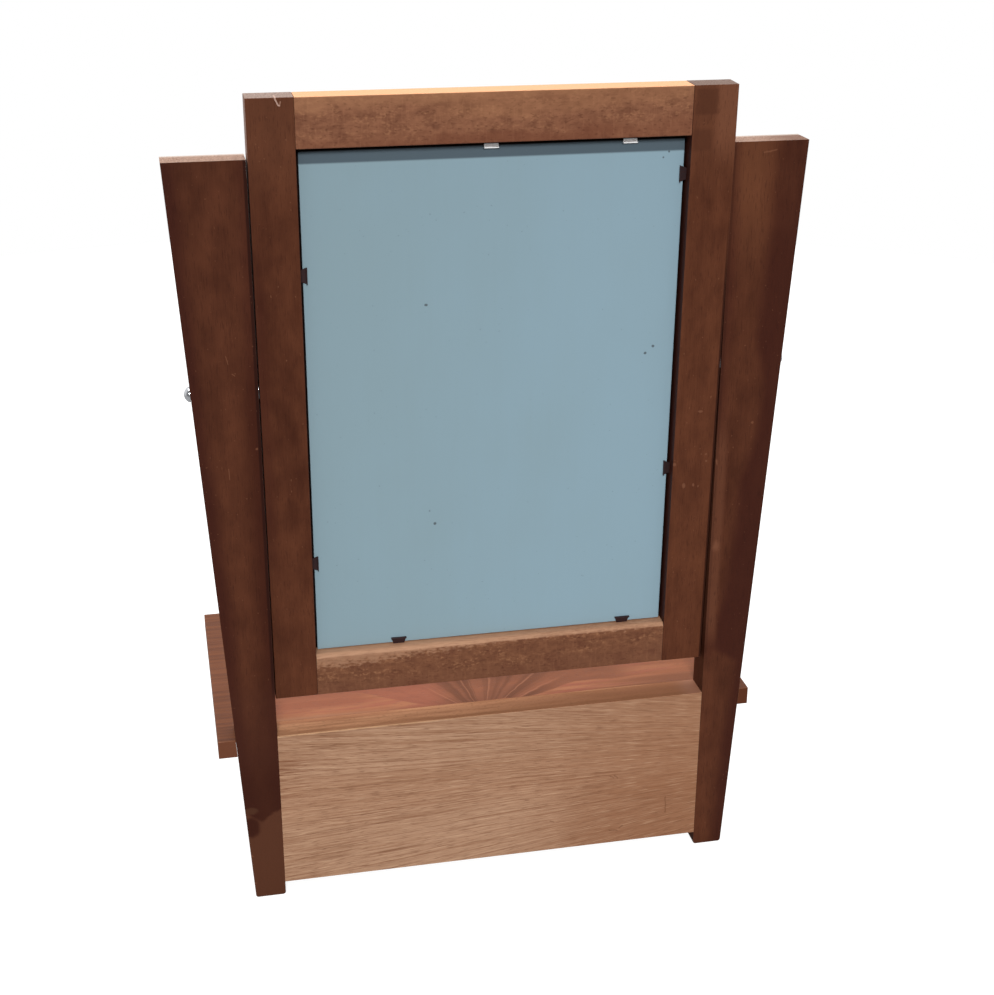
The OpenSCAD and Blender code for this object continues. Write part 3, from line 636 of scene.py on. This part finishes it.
def top_board_wood():
    """Reddish top board with a crotch figure that fans out from the middle of its rear edge."""
    wood = Wood("figured_top_board", X, srgb(148, 92, 68), srgb(106, 62, 45), seed=31.0, specular=0.12,
                broad=0.25, mottle=0.2, rings=0.3, ring_gap=6.0, warp=22.0, pith=(-160.0, 60.0),
                fibre=0.2)
    fan_x, fan_y = 11.0, 133.0

    # The sapwood, along the rear edge
    sap = wood.noise(wood.grain(X, 6.0, 90.0, 8.0), 3.0)
    sap_colour = wood.mix(wood.between(sap, 0.4, 0.6), srgb(148, 90, 60), srgb(168, 108, 76))
    blush = wood.noise(wood.grain(X, 8.0, 70.0, 28.0), 2.0)
    sap_colour = wood.mix(wood.between(blush, 0.52, 0.68, 0.0, 0.6), sap_colour, srgb(152, 84, 66))
    # Painted shade in the sapwood at +X, just in front of the mirror
    shaded = wood.times(wood.between(wood.x, 90.0, 130.0), wood.between(wood.y, 92.0, 84.0), 0.7)
    sap_colour = wood.mix(shaded, sap_colour, srgb(142, 82, 60))
    brown = wood.times(wood.between(wood.x, -60.0, -190.0), wood.between(wood.y, 83.0, 92.0), 0.8)
    sap_colour = wood.mix(brown, sap_colour, srgb(116, 70, 46))
    end = wood.times(wood.between(wood.x, 160.0, 195.0), wood.between(wood.y, 84.0, 92.0), 0.4)
    sap_colour = wood.mix(end, sap_colour, srgb(128, 74, 48))

    # The heartwood in front of it, with broad dark rays and thin pale ones, rosier towards +X
    aside = wood.math("ADD", wood.x, -fan_x)
    forward = wood.math("SUBTRACT", fan_y, wood.y)
    angle = wood.total(wood.math("ARCTAN2", aside, forward), wood.swing(wood.grain(Z, 26.0, 26.0, 13.0), 0.05))
    reach = wood.between(wood.away(aside), 105.0, 45.0)
    rays = wood.between(wood.noise_line(wood.times(angle, 4.6), 2.0), 0.42, 0.6)
    thin = wood.between(wood.noise_line(wood.times(angle, 13.0), 1.0), 0.58, 0.72)
    heart_tone = wood.noise(wood.grain(X, 26.0, 70.0, 5.0), 3.0)
    heart_colour = wood.mix(wood.between(heart_tone, 0.4, 0.6), srgb(124, 74, 50), srgb(134, 80, 54))
    heart_colour = wood.mix(wood.times(rays, reach), heart_colour, srgb(102, 58, 35))
    heart_colour = wood.mix(wood.times(thin, reach, 0.6), heart_colour, srgb(160, 104, 76))
    rose = wood.times(wood.between(wood.x, 28.0, 60.0), 0.8)
    heart_colour = wood.mix(rose, heart_colour, srgb(152, 88, 66))
    heart_line = wood.total(
        103.5,
        wood.between(wood.x, 45.0, 140.0, 0.0, -44.0),
        wood.between(wood.x, -35.0, -95.0, 0.0, -18.5),
        wood.swing(wood.grain(Z, 30.0, 30.0, 7.0), 3.0),
    )
    heart = wood.times(wood.between(wood.math("SUBTRACT", heart_line, wood.y), -0.8, 0.8),
                       wood.between(wood.x, -165.0, -120.0, 0.35, 1.0))

    # The figure shows between the uprights and near the rear. The rest of the board is plain and darker.
    near_rear = wood.between(wood.y, 10.0, 50.0)
    middle = wood.between(wood.away(wood.x), 226.0, 214.0)
    figured = wood.times(near_rear, middle)
    wood.paint(figured, wood.mix(heart, sap_colour, heart_colour), 0.9)
    plain = wood.rest(figured)
    streak = wood.noise(wood.grain(X, 4.0, 110.0, 17.0), 3.0)
    wood.paint(plain, wood.mix(wood.between(streak, 0.38, 0.62), srgb(78, 42, 21), srgb(104, 59, 31)), 0.75)
    wood.paint(wood.times(plain, near_rear, wood.between(wood.x, -1.0, -2.0)), srgb(96, 50, 26), 0.7)
    wood.pores(srgb(84, 46, 33), across=0.7, length=7.0, amount=0.3)
    pale = wood.total(wood.y, wood.swing(wood.grain(X, 5.0, 30.0, 22.0), 3.0))
    tan = wood.times(wood.between(pale, REAR - 33.0, REAR - 29.0), wood.between(wood.x, 60.0, 150.0), middle)
    wood.paint(tan, srgb(158, 112, 82), 0.6)
    rear_face = wood.behind(wood.faces(Y), 60.0)
    wood.paint(rear_face, srgb(88, 47, 28), 0.9)
    wood.paint(wood.times(rear_face, wood.between(wood.x, 0.0, 1.0)), srgb(112, 68, 48), 0.8)
    wood.end_grain(srgb(140, 96, 74), srgb(90, 56, 42))
    wood.worn(srgb(186, 132, 98), radius=1.2, amount=0.2)
    return wood.done(0.4)


def box_wood(name, along, seed):
    """Reddish brown sides, front rail and drawer front of the base."""
    wood = Wood(name, along, srgb(176, 112, 82), srgb(116, 66, 48), seed=seed,
                broad=0.25, mottle=0.22, rings=0.35, ring_gap=6.0, warp=18.0, fibre=0.25)
    wood.pores(srgb(84, 44, 34), across=0.8, length=7.0, amount=0.45)
    wood.end_grain(srgb(140, 92, 70), srgb(88, 52, 40))
    wood.worn(srgb(190, 130, 96), radius=1.2, amount=0.35)
    return wood.done(0.4)


def inner_wood(name, along, seed):
    """Bare pale softwood of the drawer box, cleats and dowels."""
    wood = Wood(name, along, srgb(226, 196, 152), srgb(190, 148, 102), seed=seed, specular=0.2,
                broad=0.2, mottle=0.15, rings=0.5, ring_gap=5.0, warp=14.0, fibre=0.25)
    wood.end_grain(srgb(206, 170, 124), srgb(160, 120, 80))
    wood.worn(srgb(232, 208, 170), radius=1.0, amount=0.4)
    return wood.done(0.7)


def knob_wood():
    """Turned knobs in the dark stain, rubbed paler on the face."""
    wood = Wood("turned_knob", Y, srgb(120, 74, 54), srgb(74, 38, 28), seed=51.0,
                broad=0.2, mottle=0.25, rings=0.4, ring_gap=2.5, warp=3.0, fibre=0.2)
    wood.pores(srgb(56, 30, 24), across=0.6, length=4.0, amount=0.4)
    wood.paint(wood.faces(Y, 0.7, 1.0), srgb(132, 84, 62), 0.35)
    return wood.done(0.32)


def backing_paint():
    """Hardboard with matt pale blue-grey paint, faint brush lines, a painted shadow band under the top rail and
    a few specks.
    """
    paint = Finish("painted_backing", specular=0.12)
    broad = paint.noise(paint.grain(Z, 90.0, 160.0, 4.0), 2.0)
    brush = paint.noise(paint.grain(Z, 4.0, 120.0, 6.0), 2.0)
    smear = paint.noise(paint.grain(Z, 26.0, 40.0, 8.0), 3.0)
    side = paint.between(paint.x, 170.0, -170.0)
    tone = paint.total(paint.times(side, 0.45), paint.times(broad, 0.5), paint.times(brush, 0.12),
                       paint.times(smear, 0.12))
    colour = paint.mix(paint.between(tone, 0.25, 0.95), srgb(138, 161, 170), srgb(142, 168, 181))
    # Painted shadow of the top rail: a dark blue-grey band across the top of the backing
    colour = paint.mix(paint.between(paint.z, SHADOW_BAND_LOW - 1.0, SHADOW_BAND_LOW + 1.0), colour, srgb(84, 98, 107))
    specks = paint.every(paint.blot, paint.ragged(0.5, 3.0), BACKING_SPECKS)
    colour = paint.mix(paint.times(specks, 0.75), colour, srgb(70, 74, 76))
    dust = paint.cloud(0.45, 1.0)
    colour = paint.mix(paint.between(dust, 0.76, 0.8, 0.0, 0.35), colour, srgb(96, 106, 112))
    pulp = paint.cloud(1.4, 4.0, 0.7)
    rough = paint.total(0.55, paint.times(brush, 0.15))
    return paint.close(colour, rough, paint.total(pulp, paint.times(brush, 0.6)))


def metal(name, colour, dull, roughness, spot=3.0):
    """Plated or bare metal with duller spots of that size in mm."""
    finish = Finish(name, specular=0.5, metallic=1.0)
    cloud = finish.cloud(1 / spot, 4.0, 0.6)
    fine = finish.cloud(2.5, 3.0)
    mixed = finish.mix(finish.between(cloud, 0.45, 0.75, 0.0, 0.5), colour, dull)
    rough = finish.total(roughness, finish.times(cloud, 0.15), finish.times(fine, 0.06))
    return finish.close(mixed, rough, fine, 0.01)


def bright_points():
    """Zinc-plated points under the top rail, painted near white for their bright reflection, with the rail's
    shade painted on them near its edge and at their ends.
    """
    finish = Finish("bright_steel", specular=0.6)
    aside = finish.math("MINIMUM", *(finish.away(finish.x, middle) for middle in TOP_POINTS_X))
    # Painted shade: outside this mask a point takes the rail's shade
    unshaded = finish.times(finish.between(aside, 6.4, 5.6), finish.between(finish.z, 699.6, 699.0))
    cloud = finish.between(finish.cloud(0.6, 4.0, 0.6), 0.45, 0.75, 0.0, 0.4)
    # Painted reflection: the plate's bright glint is given as a near white matt colour
    bright = finish.mix(cloud, srgb(255, 255, 255), srgb(230, 232, 234))
    # The painted shade: grey like the backing's painted shadow band, and near black by the rail
    shaded = finish.mix(finish.between(finish.z, 699.0, 700.0), srgb(84, 96, 104), srgb(28, 16, 12))
    return finish.close(finish.mix(unshaded, shaded, bright), 0.3)


def silvered_glass():
    """Mirror glass with a dark painted back, and a few dark spots where the silver has gone near its edges."""
    finish = Finish("silvered_glass", specular=0.5, metallic=1.0)
    spots = finish.cloud(0.25, 3.0, 0.6)
    low, high = (Vector(corner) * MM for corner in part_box("mirror_glass"))
    inside_x = finish.math("SUBTRACT", (high.x - low.x) / 2, finish.away(finish.x))
    inside_z = finish.math("MINIMUM", finish.math("SUBTRACT", finish.z, low.z),
                           finish.math("SUBTRACT", high.z, finish.z))
    border = finish.between(finish.math("MINIMUM", inside_x, inside_z), 26.0, 9.0)
    gone = finish.times(finish.between(spots, 0.6, 0.72), border)
    colour = finish.mix(gone, srgb(232, 236, 236), srgb(96, 90, 84))
    back = finish.between(finish.split(finish.facing)[Y], 0.3, 0.6)
    colour = finish.mix(back, colour, srgb(34, 24, 22))
    haze = finish.cloud(0.02, 2.0)
    rough = finish.total(0.015, finish.times(haze, 0.02), finish.times(gone, 0.3), finish.times(back, 0.6))
    return finish.close(colour, rough)


# Dressing of the CAD nodes


def heights(name):
    """The lower and upper end of a node, in mm."""
    return [corner.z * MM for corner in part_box(name)]


def dress(names, material, bevel):
    """Gives CAD nodes a material and, with modifiers alone, softened arrises. The bevel is in mm."""
    for name in names:
        piece = NODES[name]
        piece.data.materials.clear()
        piece.data.materials.append(material)
        weld = piece.modifiers.new("weld", "WELD")
        weld.merge_threshold = WELD_DISTANCE
        flat = piece.modifiers.new("flat", "DECIMATE")
        flat.decimate_type = "DISSOLVE"
        flat.angle_limit = math.radians(FLAT_ANGLE)
        soft = piece.modifiers.new("soft", "BEVEL")
        soft.width = bevel / MM
        soft.segments = BEVEL_SEGMENTS
        soft.limit_method = "ANGLE"
        soft.angle_limit = math.radians(SHARP_ANGLE)
        soft.use_clamp_overlap = True
        soft.harden_normals = False
        normals = piece.modifiers.new("normals", "WEIGHTED_NORMAL")
        normals.keep_sharp = True
        piece.data.polygons.foreach_set("use_smooth", [True] * len(piece.data.polygons))


def dress_all():
    dress(["right_upright", "left_upright"], upright_wood(), 0.9)
    dress(["right_stile", "left_stile"], stile_wood(), 0.6)
    dress(["top_rail"], top_rail_wood(), 1.0)
    dress(["bottom_rail"], bottom_rail_wood(), 0.8)
    dress(["back_board"], back_board_wood(), 0.6)
    dress(["top_board"], top_board_wood(), 1.6)
    dress(["right_side", "left_side"], box_wood("box_side_wood", Y, 61.0), 0.7)
    dress(["front_rail", "drawer_front"], box_wood("box_front_wood", X, 66.0), 0.7)
    dress(["right_cleat", "left_cleat", "drawer_right_side", "drawer_left_side", "side_dowels"],
          inner_wood("bare_wood_front_to_back", Y, 71.0), 0.5)
    dress(["bottom_board", "drawer_back", "drawer_bottom", "drawer_stops", "back_dowels"],
          inner_wood("bare_wood_side_to_side", X, 76.0), 0.5)
    knob = knob_wood()
    dress(["right_drawer_knob", "left_drawer_knob"], knob, 0.3)
    dress(["right_front_foot", "left_front_foot"], knob, 0.6)
    dress(["backing_board"], backing_paint(), 0.4)
    dress(["mirror_glass"], silvered_glass(), 0.3)
    dress(["right_pivot_knob", "left_pivot_knob", "right_pivot_washer", "left_pivot_washer"],
          metal("worn_chrome", srgb(214, 216, 220), srgb(120, 122, 126), 0.1), 0.3)
    dress(["right_pivot_sleeve", "left_pivot_sleeve", "right_insert", "left_insert",
           "cleat_screws", "foot_screws", "drawer_knob_screws"],
          metal("dull_brass", srgb(205, 168, 98), srgb(140, 104, 56), 0.3), 0.2)
    dress(["glazing_points"], metal("dark_steel", srgb(74, 58, 60), srgb(92, 56, 46), 0.45, 1.5), 0.2)
    dress(["top_glazing_points"], bright_points(), 0.2)


# Stage, light and camera


def place_in_scene(name, data):
    placed = bpy.data.objects.new(name, data)
    bpy.context.collection.objects.link(placed)
    return placed


def make_stage():
    """A round pale floor. For the camera alone it glows a little, so that its shadows stay faint."""
    finish = Finish("pale_floor", specular=0.1)
    tint = finish.between(finish.cloud(0.004, 3.0), 0.3, 0.7, FLOOR_TINT, FLOOR_TINT + FLOOR_CLOUDS)
    material = finish.close(finish.join(tint, tint, tint), 0.9)
    seen = finish.tree.nodes.new("ShaderNodeLightPath").outputs["Is Camera Ray"]
    finish.put(finish.shader.inputs["Emission Color"], (1.0, 1.0, 1.0, 1.0))
    finish.put(finish.shader.inputs["Emission Strength"], finish.times(seen, FLOOR_GLOW))
    mesh = bpy.data.meshes.new("floor")
    disc = bmesh.new()
    bmesh.ops.create_circle(disc, cap_ends=True, segments=FLOOR_SIDES, radius=FLOOR_RADIUS)
    disc.to_mesh(mesh)
    disc.free()
    mesh.materials.append(material)
    place_in_scene("floor", mesh)


def make_lamp(name, elevation, azimuth, size, strength):
    """A distant soft lamp. The azimuth turns from the rear, +Y, towards +X."""
    light = bpy.data.lights.new(name, "SUN")
    light.energy = strength
    light.angle = math.radians(size)
    rise, turn = math.radians(elevation), math.radians(azimuth)
    towards = Vector((math.sin(turn) * math.cos(rise), math.cos(turn) * math.cos(rise), math.sin(rise)))
    lamp = place_in_scene(name, light)
    lamp.rotation_mode = "QUATERNION"
    lamp.rotation_quaternion = towards.to_track_quat("Z", "Y")
    lamp.location = towards * LAMP_DISTANCE


def make_sky():
    """White for the camera, dim for the light, and bright in front for what the mirror reflects."""
    world = bpy.data.worlds.new("studio")
    bpy.context.scene.world = world
    world.use_nodes = True
    tree = world.node_tree
    background = tree.nodes["Background"]
    background.inputs["Color"].default_value = (1.0, 1.0, 1.0, 1.0)
    direction = tree.nodes.new("ShaderNodeTexCoord").outputs["Generated"]
    split = tree.nodes.new("ShaderNodeSeparateXYZ")
    tree.links.new(direction, split.inputs[0])
    path = tree.nodes.new("ShaderNodeLightPath")

    def scale(value, low, high, to_low, to_high):
        node = tree.nodes.new("ShaderNodeMapRange")
        names = ("From Min", "From Max", "To Min", "To Max")
        for key, setting in zip(names, (low, high, to_low, to_high)):
            if isinstance(setting, bpy.types.NodeSocket):
                tree.links.new(setting, node.inputs[key])
            else:
                node.inputs[key].default_value = setting
        tree.links.new(value, node.inputs["Value"])
        return node.outputs["Result"]

    glossy = scale(split.outputs["Y"], SKY_BLEND, -SKY_BLEND, SKY_REAR, SKY_FRONT)
    lit = scale(path.outputs["Is Glossy Ray"], 0.0, 1.0, SKY_STRENGTH, glossy)
    seen = scale(path.outputs["Is Camera Ray"], 0.0, 1.0, lit, 1.0)
    tree.links.new(seen, background.inputs["Strength"])


def make_camera():
    data = bpy.data.cameras.new("camera")
    data.lens = CAMERA_LENS
    data.sensor_width = CAMERA_SENSOR
    camera = place_in_scene("camera", data)
    camera.location = CAMERA_PLACE
    camera.rotation_euler = [math.radians(angle) for angle in CAMERA_TURN]
    bpy.context.scene.camera = camera
    bpy.context.scene.view_settings.view_transform = "Standard"


make_camera()
make_stage()
for lamp_values in LAMPS:
    make_lamp(*lamp_values)
make_sky()
dress_all()
